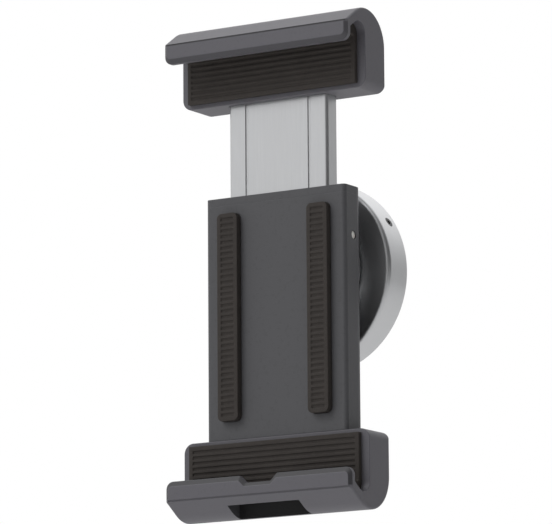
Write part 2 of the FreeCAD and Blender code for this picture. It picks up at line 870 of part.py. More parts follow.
def arm_bezel():
    """The housing's top cap, with a collar inside the shells and a close opening for the arm."""
    cap = housing_form(housing_back, housing_front, shell_top, housing_top)
    collar_low = shell_top - bezel_collar_height
    collar = block(-inner_side + loose_gap, inner_side - loose_gap, floor_front + loose_gap,
                   cover_back - loose_gap, collar_low, shell_top + past)
    return fused([cap, collar]).cut(arm_section(slot_gap, collar_low - past, housing_top + past))


def guide_strip(side, top):
    """A slippery strip between the arm and the housing's rib on one side."""
    faces = sorted((side * guide_face, side * rib_face))
    return block(*faces, floor_front + floor_gap, arm_front, housing_bottom + joint_line, top)


# --- The cam lock

def brake_cam():
    """The locking cam: half of an eccentric disc, a hub on the pin, and a tail that the plunger pushes."""
    x, z = cam_across, cam_pivot_height
    disc = rod_out(cam_radius, cam_back, cam_front, x, z - cam_offset)
    disc = disc.common(block(x - 2 * cam_radius, x, cam_back, cam_front, z - 2 * cam_radius,
                             z + 2 * cam_radius))
    hub = rod_out(cam_hub_radius, cam_back, cam_front, x, z)
    face = x + cam_tail_face
    tail = block(face - cam_tail_thickness, face, cam_back, cam_front, z, z + cam_tail_rise)
    bore = rod_out(cam_pin_radius + running_gap, cam_back - past, cam_front + past, x, z)
    return fused([disc, hub, tail]).cut(bore)


def cam_pin():
    """The steel pin that the cam turns on."""
    pin_back, pin_front = cam_pin_ends()
    return rod_out(cam_pin_radius, pin_back + running_gap, pin_front - running_gap, cam_across,
                   cam_pivot_height)


def cam_spring():
    """The hairpin spring round the pin: one leg lies along the cam's tail, the other by the side wall."""
    out = (cam_front + cover_back) / 2
    wire = cam_spring_wire / 2
    bend = cam_pin_radius + running_gap + wire
    legs = [Part.makeCylinder(wire, length, at(cam_across + side * bend, out, cam_pivot_height), UP)
            for side, length in zip(SIDES, (cam_spring_tail_leg, cam_spring_wall_leg))]
    circle = Part.Circle(at(cam_across - bend, out, cam_pivot_height), UP, wire).toShape()
    turn = Part.Face(Part.Wire(circle)).revolve(at(cam_across, out, cam_pivot_height), OUTWARD, 180)
    return fused([turn] + legs)


def release_plunger():
    """The release plunger: a shank in the side wall's hole, with a collar and a round nose that meets the
    cam's tail."""
    out, height = plunger_place()
    tip = cam_across + cam_tail_face + plunger_touch_gap
    collar_end = inner_side - running_gap
    nose = Part.makeSphere(plunger_radius, at(tip + plunger_radius, out, height))
    collar = rod_across(plunger_head_radius, collar_end - plunger_head_thickness, collar_end, out, height)
    shank = rod_across(plunger_radius, tip + plunger_radius, housing_width / 2 - plunger_recess, out, height)
    return fused([nose, collar, shank])


# --- The swivel

def wall_plate():
    """The dished steel plate that is screwed to the wall. Its rim has a hole for each set screw's tip."""
    plate = rod_out(plate_radius, 0, plate_rim_height)
    plate = plate.cut(rod_out(plate_radius - plate_rim_wall, plate_thickness, plate_rim_height + past))
    holes = [rod_out(wall_hole_radius, -past, plate_thickness + past, x, z)
             for x, z in on_circle(wall_hole_circle, wall_hole_count, diagonal_turn)]
    holes += [rod_radial(set_screw_tip_radius + loose_gap, plate_radius - plate_rim_wall - past,
                         plate_radius + past, set_screw_out, angle) for angle in set_screw_angles()]
    return plate.cut(holes)


def set_screw_angles():
    """The set screws' directions: one straight down, and the others evenly spaced."""
    return [-90 + 360 / set_screw_count * k for k in range(set_screw_count)]


def rosette():
    """The aluminium cup that slides over the wall plate and carries the post in its thick front."""
    outer = rod_out(rosette_radius, rosette_lift, rosette_depth)
    outer = round_edges(outer, rosette_edge_radius, lambda q: near(-q.y, rosette_depth))
    inner = rod_out(rosette_radius - rosette_wall, rosette_lift - past, flange_front)
    hole = rod_out(rosette_hole_radius, 0, rosette_depth + past)
    screws = [rod_radial(set_screw_radius + thread_gap, plate_radius, rosette_radius + past,
                         set_screw_out, angle) for angle in set_screw_angles()]
    return outer.cut([inner, hole] + screws + post_screw_holes())


def set_screws():
    """Three headless screws through the rosette's side, with their tips in the wall plate's rim."""
    screws = []
    for angle in set_screw_angles():
        shoulder = plate_radius + running_gap
        body = rod_radial(set_screw_radius, shoulder, rosette_radius - running_gap, set_screw_out, angle)
        tip = rod_radial(set_screw_tip_radius, plate_radius - set_screw_tip, shoulder + running_gap,
                         set_screw_out, angle)
        socket = rod_radial(M3["socket"], rosette_radius - socket_depth, rosette_radius, set_screw_out, angle)
        screws.append(fused([body, tip]).cut(socket))
    return screws


def post_screw_holes():
    return [flat_head_hole(M4, post_screw_length, flange_back, -1, x, z)
            for x, z in on_circle(post_screw_circle, post_screw_count, diagonal_turn)]


def swivel_post():
    """The steel post: a flange behind the rosette's front, a keyed step for the index ring, and the shaft."""
    flange = rod_out(post_flange_radius, flange_back, flange_front)
    key = rod_out(key_radius, flange_front, index_front).common(
        block(-key_flat, key_flat, flange_front, index_front, -key_radius, key_radius))
    shaft = rod_out(post_radius, flange_front, washer_front)
    holes = [flat_head_hole(M5, retainer_screw_length, retainer_front, 1, 0, 0)]
    return fused([flange, key, shaft]).cut(holes + post_screw_holes())


def post_screws():
    """Four countersunk screws from behind that hold the post to the rosette."""
    return [flat_head_screw(M4, post_screw_length, flange_back, -1, x, z)
            for x, z in on_circle(post_screw_circle, post_screw_count, diagonal_turn)]


def index_ring():
    """The steel ring, keyed to the post, whose four notches set the quarter turns."""
    ring = rod_out(index_ring_radius, flange_front, index_front)
    hole = rod_out(key_radius + running_gap, flange_front - past, index_front + past).common(
        block(-key_flat - running_gap, key_flat + running_gap, flange_front - past, index_front + past,
              -key_radius - past, key_radius + past))
    notches = []
    for k in range(index_notch_count):
        notches.append(rod_radial(index_notch_radius, 0, index_ring_radius + past, index_front,
                                  360 / index_notch_count * k))
    core = rod_out(detent_inner_radius - past, index_front - index_notch_radius, index_front + past)
    notches = [n.cut(core) for n in notches]
    return ring.cut([hole] + notches)


def detent_spring():
    """The spring steel ring behind the collar. Its two ridges click into the index ring's notches."""
    front = spigot_back
    back = front - detent_thickness
    hole = rod_out(detent_inner_radius, back - past, front + past)
    ring = rod_out(detent_outer_radius, back, front).cut(hole)
    ridge_centre = index_front + detent_lift
    width = detent_outer_radius - detent_inner_radius
    ridges = []
    for side in SIDES:
        faces = strip(side * (detent_inner_radius + width / 2), width - 2 * ridge_margin)
        ridges += [rod_across(detent_bump_radius, *faces, ridge_centre, 0),
                   block(*faces, ridge_centre, back + detent_thickness / 2, -detent_bump_radius,
                         detent_bump_radius)]
    return fused([ring] + ridges)


def swivel_collar():
    """The collar that carries the housing on the bush, with a spigot inside the rosette."""
    front = housing_back
    body = ring_section([
        (bush_radius, spigot_back), (spigot_radius, spigot_back), (spigot_radius, collar_back),
        (collar_radius, collar_back), (collar_radius, front), (bush_radius, front),
    ])
    body = round_edges(body, collar_edge_radius, lambda q: near(-q.y, collar_back)
                       and near(math.hypot(q.x, q.z), collar_radius))
    seat_hole = rod_out(bush_flange_radius + loose_gap, spigot_back - past,
                        spigot_back + bush_flange_thickness)
    holes = [flat_head_hole(M3, collar_screw_length, floor_front, 1, x, z)
             for x, z in on_circle(collar_screw_circle, collar_screw_count)]
    return body.cut([seat_hole] + holes)


def collar_screws():
    """Four countersunk screws from inside the housing that hold the collar."""
    return [flat_head_screw(M3, collar_screw_length, floor_front, 1, x, z)
            for x, z in on_circle(collar_screw_circle, collar_screw_count)]


def swivel_bush():
    """The flanged plastic bush between the post and the collar."""
    bore = post_radius + running_gap
    end = floor_front - joint_line
    return ring_section([
        (bore, spigot_back), (bush_flange_radius, spigot_back),
        (bush_flange_radius, spigot_back + bush_flange_thickness),
        (bush_radius, spigot_back + bush_flange_thickness), (bush_radius, end), (bore, end),
    ])


def spring_washer():
    """The conical spring washer that presses the head against the post's retainer."""
    inner = post_radius + loose_gap
    rise = washer_height - washer_thickness
    return ring_section([
        (inner, floor_front + rise - seat_gap), (washer_radius, floor_front),
        (washer_radius, floor_front + washer_thickness), (inner, washer_front - seat_gap),
    ])


def retainer_plate():
    """The disc on the post's end that keeps the head on the post."""
    disc = rod_out(retainer_radius, washer_front, retainer_front)
    return disc.cut(flat_head_hole(M5, retainer_screw_length, retainer_front, 1, 0, 0))


def retainer_screw():
    """The countersunk screw that holds the retainer to the post."""
    return flat_head_screw(M5, retainer_screw_length, retainer_front, 1, 0, 0)


# --- Export

def pieces():
    """Every node's name and its solid or list of solids."""
    return {
        "wall_plate": wall_plate(),
        "rosette": rosette(),
        "set_screws": set_screws(),
        "swivel_post": swivel_post(),
        "post_screws": post_screws(),
        "index_ring": index_ring(),
        "retainer_plate": retainer_plate(),
        "retainer_screw": retainer_screw(),
        "detent_spring": detent_spring(),
        "swivel_collar": swivel_collar(),
        "collar_screws": collar_screws(),
        "swivel_bush": swivel_bush(),
        "spring_washer": spring_washer(),
        "rear_shell": rear_shell(),
        "front_shell": front_shell(),
        "shell_screws": shell_screws(),
        "arm_bezel": arm_bezel(),
        "guide_strip_left": guide_strip(-1, guide_top_left),
        "guide_strip_right": guide_strip(1, guide_top_right),
        "back_pads": back_pads(),
        "lower_jaw": lower_jaw(),
        "lower_liner": lower_liner(),
        "lower_jaw_screws": lower_jaw_screws(),
        "cam_pin": cam_pin(),
        "cam_spring": cam_spring(),
        "brake_cam": brake_cam(),
        "release_plunger": release_plunger(),
        "arm_channel": arm_channel(),
        "arm_shoe": arm_shoe(),
        "arm_shoe_screws": arm_shoe_screws(),
        "upper_jaw": upper_jaw(),
        "upper_liner": jaw_liner(),
        "upper_jaw_screws": upper_jaw_screws(),
    }


def write(name, made):
    """Writes one node's STEP file and reports its solids."""
    solids = [s for shape in (made if isinstance(made, list) else [made]) for s in shape.Solids]
    shape = solids[0] if len(solids) == 1 else Part.makeCompound(solids)
    if not solids or not all(s.isValid() and s.isClosed() for s in solids):
        raise ValueError(name + " isn't a valid closed solid")
    shape.exportStep(os.path.join(PARTS_FOLDER, name + ".step"))
    print("%-20s solids %2d  volume %9.1f" % (name, len(solids), sum(s.Volume for s in solids)))


os.makedirs(PARTS_FOLDER, exist_ok=True)
for node, shapes in pieces().items():
    write(node, shapes)
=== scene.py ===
import math

import bmesh
import bpy
from bpy.props import FloatProperty, FloatVectorProperty, PointerProperty
from mathutils import Matrix, Vector


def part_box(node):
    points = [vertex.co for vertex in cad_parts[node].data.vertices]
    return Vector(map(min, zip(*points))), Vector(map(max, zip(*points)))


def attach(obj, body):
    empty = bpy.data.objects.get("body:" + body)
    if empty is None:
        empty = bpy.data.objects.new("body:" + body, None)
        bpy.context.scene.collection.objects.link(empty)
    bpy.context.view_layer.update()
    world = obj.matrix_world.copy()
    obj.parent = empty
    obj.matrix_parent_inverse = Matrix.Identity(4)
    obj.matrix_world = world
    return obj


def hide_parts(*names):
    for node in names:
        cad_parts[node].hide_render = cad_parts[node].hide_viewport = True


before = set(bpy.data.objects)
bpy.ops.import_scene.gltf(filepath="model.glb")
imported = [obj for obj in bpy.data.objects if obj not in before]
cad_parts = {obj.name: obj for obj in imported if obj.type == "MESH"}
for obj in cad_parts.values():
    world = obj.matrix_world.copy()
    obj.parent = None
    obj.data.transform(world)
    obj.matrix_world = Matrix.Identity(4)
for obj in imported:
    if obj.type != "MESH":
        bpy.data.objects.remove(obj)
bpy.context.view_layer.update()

bl_info = {
    "name": "Tablet Wall Holder",
    "version": (1, 0, 0),
    "blender": (4, 5, 0),
    "location": "View3D > Sidebar > Holder",
    "description": "Rubber parts, material finishes and a small studio for a wall holder for tablets",
    "category": "Object",
}

WHITE = (1.0, 1.0, 1.0, 1.0)
NEAR = 1e-6  # coordinates closer than this are the same
CLEAR = 0.002  # how far a cut runs past what it cuts
FACING = 0.99  # how nearly a face has to look away from the wall to count as a front
SMOOTH_ANGLE = math.radians(40)  # edges that turn by more than this are shaded sharp
SHARP_ANGLE = math.radians(35)  # edges that turn by more than this are rounded
ROUND_STEPS = 3  # faces across a rounded edge
SENSOR_WIDTH = 36.0  # millimetres

# The CAD nodes that share a finish.
SHELLS = ("rear_shell", "front_shell", "arm_bezel")
TURNED = ("rosette", "swivel_collar")
PLATED = ("wall_plate", "swivel_post", "index_ring", "retainer_plate", "cam_pin", "brake_cam")
SPRINGS = ("detent_spring", "spring_washer", "cam_spring")
SLIDES = ("arm_shoe", "guide_strip_left", "guide_strip_right", "swivel_bush", "release_plunger")
SCREWS = ("set_screws", "post_screws", "retainer_screw", "collar_screws", "shell_screws",
          "lower_jaw_screws", "upper_jaw_screws", "arm_shoe_screws")


# --- Sizes and colours that a user may change

def length(name, description, default, precision=4):
    """A length in metres."""
    return FloatProperty(name=name, description=description, default=default, min=0.0,
                         unit="LENGTH", precision=precision)


def share(name, description, default):
    """A part of the whole, from 0 to 1."""
    return FloatProperty(name=name, description=description, default=default, min=0.0, max=1.0,
                         subtype="FACTOR")


def angle(name, description, degrees):
    """An angle, given in degrees."""
    return FloatProperty(name=name, description=description, default=math.radians(degrees),
                         subtype="ANGLE")


def brightness(name, description, default):
    """How strong a light is."""
    return FloatProperty(name=name, description=description, default=default, min=0.0)


def colour(name, description, default):
    """A colour of three parts."""
    return FloatVectorProperty(name=name, description=description, default=default, size=3,
                               min=0.0, max=1.0, subtype="COLOR")


class HolderRubber(bpy.types.PropertyGroup):
    """Sizes of the jaw liners and the back pads."""

    groove_radius: length("Groove radius", "Round of the jaw's groove that the liner fills", 0.0045)
    seat_depth: length("Seat depth", "From the liner's top down to the tablet's edge", 0.0044)
    lip_cover: length("Lip cover", "How far the liner reaches down the lip's inside", 0.0026)
    roof_slope: angle("Roof slope", "Slope of the groove's roof towards the lip", 33.4)
    lip_lining: length("Lip lining", "Thickness of the liner on the lip's inside", 0.0009)
    seat_round: length("Seat round", "Round at the foot of the channel for the tablet's edge", 0.001)
    tablet_back: length("Tablet back", "Distance from the wall to the tablet's back", 0.0385)
    edge_round: length("Edge round", "Round on the rubber's free edges", 0.00018, 5)
    rib_pitch: length("Rib pitch", "Distance from one grip rib to the next", 0.0022)
    rib_width: length("Rib width", "Width of a grip rib's crest", 0.0008)
    rib_height: length("Rib height", "Height of the grip ribs over the bands between them", 0.00045, 5)
    window_half: length("Window half width", "Half the width of the gap for the charging plug", 0.0158)
    window_front: length("Window front", "Distance from the wall to the front of that gap", 0.0458)
    notch_half: length("Notch half width", "Half the width of the gap behind the lip's notch", 0.0098)
    rib_border: length("Rib border", "Plain border round the grip ribs", 0.0012)
    pad_width: length("Pad width", "Width of a back pad", 0.009)
    pad_corner: length("Pad corner", "Corner radius of the back pads", 0.002)


class HolderJaws(bpy.types.PropertyGroup):
    """Where the jaws' painted shadows lie, and how dark they are."""

    crease_height: length("Crease height", "From the swivel axis to the crease over the lip", 0.08811, 5)
    crease_half: length("Crease half width", "Half the width of the dark line along the crease", 0.00045, 5)
    bevel_depth: length("Bevel depth", "How far back the lip's bevel reaches", 0.0011)
    window_half: length("Window half width", "Half the width of the charging window", 0.0157)
    window_back: length("Window back", "From the wall to the back of the window", 0.0361)
    window_front: length("Window front", "From the wall to the front of the window", 0.0457)
    # How dark each jaw's painted shade is, on its lip's bevel and along its crease.
    upper_bevel_shade: share("Upper bevel", "How dark the upper lip's bevel is painted", 0.5)
    lower_bevel_shade: share("Lower bevel", "How dark the lower lip's bevel is painted", 0.78)
    upper_crease_shade: share("Upper crease", "How dark the line along the upper jaw's crease is", 1.0)
    lower_crease_shade: share("Lower crease", "How dark the line along the lower jaw's crease is", 0.25)


class HolderColours(bpy.types.PropertyGroup):
    """Colours of the holder's finishes."""

    jaw: colour("Jaws", "Anthracite plastic of the two jaws", (0.0928, 0.0898, 0.1022))
    shell: colour("Housing", "Plastic of the housing", (0.062, 0.062, 0.067))
    aluminium: colour("Aluminium", "Anodised aluminium of the bar and the rosette", (0.53, 0.535, 0.545))
    zinc: colour("Zinc", "Zinc-plated steel", (0.52, 0.54, 0.57))
    black_steel: colour("Screws", "Blackened steel of the screws", (0.030, 0.030, 0.032))
    spring: colour("Springs", "Tempered spring steel", (0.20, 0.195, 0.19))
    slide: colour("Slides", "Slippery plastic of the slides and the bush", (0.70, 0.69, 0.65))
    rubber: colour("Rubber", "Rubber of the liners and pads", (0.034, 0.029, 0.026))
    floor: colour("Floor", "Pale studio floor", (0.80, 0.80, 0.80))


class HolderStudio(bpy.types.PropertyGroup):
    """Camera, floor and light."""

    azimuth: angle("Azimuth", "Camera's turn round the holder", 31.918)
    elevation: angle("Elevation", "Camera's angle over the horizon", -10.069)
    roll: angle("Roll", "Camera's lean", -0.413)
    aim: FloatVectorProperty(name="Aim", description="Point that the camera looks at", size=3,
                             default=(0.00646, -0.04562, -0.00035), subtype="TRANSLATION", precision=6)
    distance: length("Distance", "From the camera to the point it looks at", 1.6814)
    lens: FloatProperty(name="Lens", description="Focal length on a 36 mm wide sensor", default=291.7)
    floor_drop: length("Floor drop", "Height of the swivel axis over the floor", 1.6, 2)
    floor_size: length("Floor size", "Side of the square floor", 60.0, 1)
    backdrop: brightness("Backdrop", "Brightness of the backdrop that is seen", 1.0)
    sky_level: brightness("Level sky", "Brightness of the sky at the horizon", 0.8)
    sky_dimming: share("Sky dimming", "How much dimmer the sky is to the right", 0.9)
    sky_top: brightness("Top sky", "Brightness of the sky overhead", 1.7)
    lamp_power: FloatProperty(name="Lamp", description="Power of the soft lamp", default=9.0, unit="POWER")
    lamp_size: length("Lamp size", "Side of the soft lamp", 0.9, 2)
    lamp_place: FloatVectorProperty(name="Lamp place", description="Where the soft lamp hangs", size=3,
                                    default=(-0.6, -1.3, 1.5), subtype="TRANSLATION")


# --- Materials

class Signal:
    """A value that varies over a surface. Sums and products of signals add their nodes."""

    def __init__(self, finish, socket):
        self.finish = finish
        self.socket = socket

    def _with(self, operation, first, second):
        return self.finish.node("ShaderNodeMath", {"operation": operation}, Value=first, Value_001=second)

    def __add__(self, other):
        return self._with("ADD", self, other)

    def __sub__(self, other):
        return self._with("SUBTRACT", self, other)

    def __rsub__(self, other):
        return self._with("SUBTRACT", other, self)

    def __mul__(self, other):
        return self._with("MULTIPLY", self, other)

    def __pow__(self, other):
        return self._with("POWER", self, other)

    __radd__ = __add__
    __rmul__ = __mul__

    def size(self):
        """The signal without its sign."""
        return self.finish.node("ShaderNodeMath", {"operation": "ABSOLUTE"}, Value=self)

    def between(self, low, high):
        """This signal's share of the way from low to high, held to 0 and 1."""
        return self.finish.node("ShaderNodeMapRange", {"interpolation_type": "SMOOTHSTEP"},
                                Value=self, From_Min=low, From_Max=high)


class Finish:
    """A material, or the sky, and the nodes that make it."""

    def __init__(self, owner, place="Object"):
        self.owner = owner
        owner.use_nodes = True
        self.tree = owner.node_tree
        self.tree.nodes.clear()
        self.place = self.node("ShaderNodeTexCoord", out=place)

    @classmethod
    def named(cls, name):
        return cls(bpy.data.materials.new(name))

    def node(self, kind, settings=None, out=None, **values):
        """Adds a node with its settings and its sockets' values or links, and returns an output."""
        made = self.tree.nodes.new(kind)
        for name, setting in (settings or {}).items():
            setattr(made, name, setting)
        for name, value in values.items():
            socket = self.find(made.inputs, name)
            if isinstance(value, Signal):
                self.tree.links.new(value.socket, socket)
            else:
                socket.default_value = value
        if made.outputs:
            return Signal(self, self.find(made.outputs, out) if out else made.outputs[0])

    @staticmethod
    def find(sockets, name):
        """The socket with that identifier, or with that name, where _ stands for a space."""
        for socket in sockets:
            if socket.identifier == name:
                return socket
        return sockets[name.replace("_", " ")]

    def split(self):
        """The X, Y and Z of a spot, or of a direction in the sky, by name."""
        parts = self.node("ShaderNodeSeparateXYZ", Vector=self.place).socket.node
        return {axis: Signal(self, parts.outputs[axis]) for axis in "XYZ"}

    def stretched(self, scale):
        """Object coordinates, scaled differently along each axis."""
        return self.node("ShaderNodeMapping", Vector=self.place, Scale=scale)

    def noise(self, size, detail=2.0, place=None):
        """Soft noise from 0 to 1 with features of about that size."""
        return self.node("ShaderNodeTexNoise", out="Fac", Vector=place or self.place,
                         Scale=1 / size, Detail=detail, Roughness=0.55)

    def from_axis(self):
        """Distance from the swivel axis."""
        square = self.node("ShaderNodeVectorMath", {"operation": "MULTIPLY"}, Vector=self.place,
                           Vector_001=(1.0, 0.0, 1.0))
        return self.node("ShaderNodeVectorMath", {"operation": "LENGTH"}, out="Value", Vector=square)

    def rounded(self, radius):
        """The surface's direction, as if its edges were rounded."""
        return self.node("ShaderNodeBevel", {"samples": 6}, Radius=radius)

    def on_edge(self, radius):
        """How near a spot is to a sharp edge, from 0 to 1."""
        true = self.node("ShaderNodeNewGeometry", out="Normal")
        facing = self.node("ShaderNodeVectorMath", {"operation": "DOT_PRODUCT"}, out="Value",
                           Vector=self.rounded(radius), Vector_001=true)
        return (1.0 - facing).between(0.0, 0.3)

    def blend(self, factor, first, second):
        """A colour between two others."""
        return self.node("ShaderNodeMix", {"data_type": "RGBA"}, out="Result_Color", Factor_Float=factor,
                         A_Color=first, B_Color=second)

    def finished(self, base, roughness, height, relief, edge=0.0003, **fixed):
        """Joins the material up: its colour, roughness, a height in relief metres, and its fixed values."""
        bumped = self.node("ShaderNodeBump", Strength=1.0, Distance=relief, Height=height,
                           Normal=self.rounded(edge))
        shader = self.node("ShaderNodeBsdfPrincipled", out="BSDF", Base_Color=base, Roughness=roughness,
                           Normal=bumped, **fixed)
        self.node("ShaderNodeOutputMaterial", Surface=shader)
        return self.owner


def shade(base, factor):
    """A colour made darker or lighter, with its alpha."""
    return tuple(min(1.0, part * factor) for part in base) + (1.0,)


def tinted(base, red, green, blue):
    """A colour with each of its parts made weaker or stronger, with its alpha."""
    return (base[0] * red, base[1] * green, base[2] * blue, 1.0)


# Where a jaw's painted shadows fade in, in metres from their borders inwards. The window's depth is measured
# from the crease's height outwards.
BEVEL_FRONT_FADE = (0.00004, 0.00016)
BEVEL_BACK_FADE = (-0.0001, 0.0001)
WINDOW_SIDE_FADE = (-0.0002, 0.0001)
WINDOW_BACK_FADE = (-0.0003, 0.0)
WINDOW_FRONT_FADE = (-0.0002, 0.0002)
WINDOW_DEPTH_FADE = (-0.006, -0.003)

# The same beside the crease, as shares of its line's half width. The line's own fade is outwards.
BEVEL_CREASE_FADE = (1.0, 2.0)
CREASE_FADE = (0.6, 1.4)


def jaw_shadows(finish, jaws, front):
    """How far a spot lies in each shadow: the lip's bevel, the crease's line and the window's inside."""
    split = finish.split()
    across, out, height = split["X"].size(), split["Y"] * -1.0, split["Z"].size()
    behind = front - out
    bevel_fade = [part * jaws.crease_half for part in BEVEL_CREASE_FADE]
    line_fade = [part * jaws.crease_half for part in CREASE_FADE]
    bevel = behind.between(*BEVEL_FRONT_FADE) * (jaws.bevel_depth - behind).between(*BEVEL_BACK_FADE)
    bevel = bevel * (jaws.crease_height - height).between(*bevel_fade)
    off_crease = (behind ** 2.0 + (height - jaws.crease_height) ** 2.0) ** 0.5
    crease = 1.0 - off_crease.between(*line_fade)
    inside = (jaws.window_half - across).between(*WINDOW_SIDE_FADE)
    inside = inside * (out - jaws.window_back).between(*WINDOW_BACK_FADE)
    inside = inside * (jaws.window_front - out).between(*WINDOW_FRONT_FADE)
    inside = inside * (split["Z"] * -1.0 - jaws.crease_height).between(*WINDOW_DEPTH_FADE)
    return bevel, crease, inside


def jaw_plastic(name, base, jaws, front, bevel_shade, crease_shade):
    """Satin anthracite plastic, with the jaw's shadows painted in and its edges rubbed lighter."""
    finish = Finish.named(name)
    grain = finish.noise(size=0.00035, detail=3.0)
    pits = finish.noise(size=0.0009).between(0.55, 0.7)
    flow = finish.noise(size=0.03, detail=3.0, place=finish.stretched((0.35, 1.0, 1.0)))
    worn = finish.on_edge(radius=0.0005) * finish.noise(size=0.006, detail=4.0).between(0.3, 0.6)
    bevel, crease, inside = jaw_shadows(finish, jaws, front)
    tone = finish.blend(flow, shade(base, 0.93), shade(base, 1.07))
    tone = finish.blend(grain * 0.35, tone, shade(base, 1.2))
    tone = finish.blend(pits * 0.25, tone, shade(base, 0.75))
    tone = finish.blend(worn * 0.5, tone, shade(base, 1.7))
    # Painted shade: darker on the lip's bevel, in a line along the crease, and nearly black inside the
    # window.
    tone = finish.blend(bevel * bevel_shade, tone, shade(base, 0.12))
    tone = finish.blend(crease * crease_shade, tone, shade(base, 0.12))
    tone = finish.blend(inside, tone, shade(base, 0.05))
    roughness = 0.47 + flow * 0.08 + grain * 0.08 - worn * 0.1 + crease * 0.2 + inside * 0.4
    return finish.finished(tone, roughness, grain - pits * 0.4, relief=0.00002, Specular_IOR_Level=0.42)


def moulded_plastic(name, base, grain_size, grain_relief):
    """Spark-eroded satin plastic: fine grain, faint flow marks, and edges rubbed lighter."""
    finish = Finish.named(name)
    grain = finish.noise(size=grain_size, detail=3.0)
    pits = finish.noise(size=grain_size * 2.7).between(0.55, 0.7)
    flow = finish.noise(size=0.03, detail=3.0, place=finish.stretched((0.35, 1.0, 1.0)))
    worn = finish.on_edge(radius=0.0005) * finish.noise(size=0.006, detail=4.0).between(0.35, 0.65)
    tone = finish.blend(flow, shade(base, 0.93), shade(base, 1.07))
    tone = finish.blend(grain * 0.35, tone, shade(base, 1.22))
    tone = finish.blend(pits * 0.3, tone, shade(base, 0.72))
    tone = finish.blend(worn * 0.45, tone, shade(base, 1.6))
    roughness = 0.47 + flow * 0.08 + grain * 0.08 - worn * 0.1
    return finish.finished(tone, roughness, grain - pits * 0.4, grain_relief, Specular_IOR_Level=0.42)


def brushed_aluminium(name, base):
    """Satin anodised aluminium, brushed along the bar."""
    finish = Finish.named(name)
    fine = finish.noise(size=0.00016, detail=2.0, place=finish.stretched((1.0, 1.0, 0.012)))
    broad = finish.noise(size=0.0011, detail=3.0, place=finish.stretched((1.0, 1.0, 0.02)))
    cloud = finish.noise(size=0.02, detail=2.0)
    rubbed = finish.on_edge(radius=0.0004)
    tone = finish.blend(fine, shade(base, 0.88), shade(base, 1.05))
    tone = finish.blend(broad * 0.4, tone, shade(base, 0.82))
    tone = finish.blend(rubbed * 0.5, tone, shade(base, 1.3))
    roughness = 0.27 + fine * 0.12 + cloud * 0.06
    return finish.finished(tone, roughness, fine * 0.7 + broad * 0.3, relief=0.000008, Metallic=1.0)


def turned_aluminium(name, base):
    """Anodised aluminium with the fine rings that turning leaves."""
    finish = Finish.named(name)
    radius = finish.from_axis()
    rings = finish.node("ShaderNodeTexNoise", {"noise_dimensions": "1D"}, out="Fac", W=radius, Scale=5200.0,
                        Detail=2.0)
    blasted = finish.noise(size=0.00022, detail=2.0)
    cloud = finish.noise(size=0.018, detail=3.0)
    rubbed = finish.on_edge(radius=0.0005)
    tone = finish.blend(rings * 0.6, shade(base, 1.02), shade(base, 0.86))
    tone = finish.blend(cloud * 0.35, tone, shade(base, 0.9))
    tone = finish.blend(rubbed * 0.5, tone, shade(base, 1.3))
    roughness = 0.28 + blasted * 0.12 + cloud * 0.06
    return finish.finished(tone, roughness, rings * 0.7 + blasted * 0.3, relief=0.000008, Metallic=1.0)


def plated_steel(name, base):
    """Zinc-plated steel with its faint crystal mottling and warm and cool clouds."""
    finish = Finish.named(name)
    crystal = finish.node("ShaderNodeTexVoronoi", {"feature": "F1"}, out="Distance", Vector=finish.place,
                          Scale=900.0)
    cloud = finish.noise(size=0.008, detail=3.0)
    fine = finish.noise(size=0.00025, detail=3.0)
    rubbed = finish.on_edge(radius=0.0004)
    tone = finish.blend(cloud, shade(base, 0.9), tinted(base, 1.06, 1.02, 0.95))
    tone = finish.blend(crystal.between(0.2, 0.9) * 0.3, tone, shade(base, 0.78))
    tone = finish.blend(rubbed * 0.4, tone, shade(base, 1.3))
    roughness = 0.3 + crystal * 0.1 + cloud * 0.08
    return finish.finished(tone, roughness, fine + crystal * 0.5, relief=0.000008, Metallic=1.0)


def blackened_steel(name, base):
    """Black screw steel, rubbed bright where the driver and the head's rim touch."""
    finish = Finish.named(name)
    fine = finish.noise(size=0.00015, detail=3.0)
    cloud = finish.noise(size=0.002, detail=3.0)
    rubbed = finish.on_edge(radius=0.00025) * cloud.between(0.3, 0.7)
    tone = finish.blend(fine, shade(base, 0.75), shade(base, 1.5))
    tone = finish.blend(rubbed * 0.8, tone, shade(base, 7.0))
    roughness = 0.36 + fine * 0.12 - rubbed * 0.1
    return finish.finished(tone, roughness, fine, relief=0.000006, edge=0.00012, Metallic=0.9)


def spring_steel(name, base):
    """Tempered strip: straw and blue tints over fine rolling marks."""
    finish = Finish.named(name)
    rolled = finish.noise(size=0.0002, detail=2.0, place=finish.stretched((1.0, 1.0, 0.05)))
    tint = finish.noise(size=0.006, detail=2.0)
    straw, blue = tinted(base, 1.25, 1.08, 0.85), tinted(base, 0.8, 0.92, 1.2)
    tone = finish.blend(tint.between(0.35, 0.65), straw, blue)
    tone = finish.blend(finish.on_edge(radius=0.00025) * 0.5, tone, shade(base, 2.0))
    roughness = 0.24 + rolled * 0.14
    return finish.finished(tone, roughness, rolled, relief=0.000005, edge=0.00012, Metallic=1.0)


def slide_plastic(name, base):
    """Natural slippery plastic, slightly waxy, polished where it slides."""
    finish = Finish.named(name)
    grain = finish.noise(size=0.0003, detail=3.0)
    cloud = finish.noise(size=0.004, detail=2.0)
    streaks = finish.noise(size=0.0007, detail=2.0, place=finish.stretched((1.0, 1.0, 0.04)))
    polished = streaks.between(0.5, 0.75)
    tone = finish.blend(cloud, shade(base, 0.95), shade(base, 1.03))
    tone = finish.blend(polished * 0.25, tone, shade(base, 0.82))
    roughness = 0.42 + grain * 0.1 - polished * 0.12
    return finish.finished(tone, roughness, grain - polished * 0.3, relief=0.00001, Subsurface_Weight=0.06,
                           Subsurface_Scale=0.001)


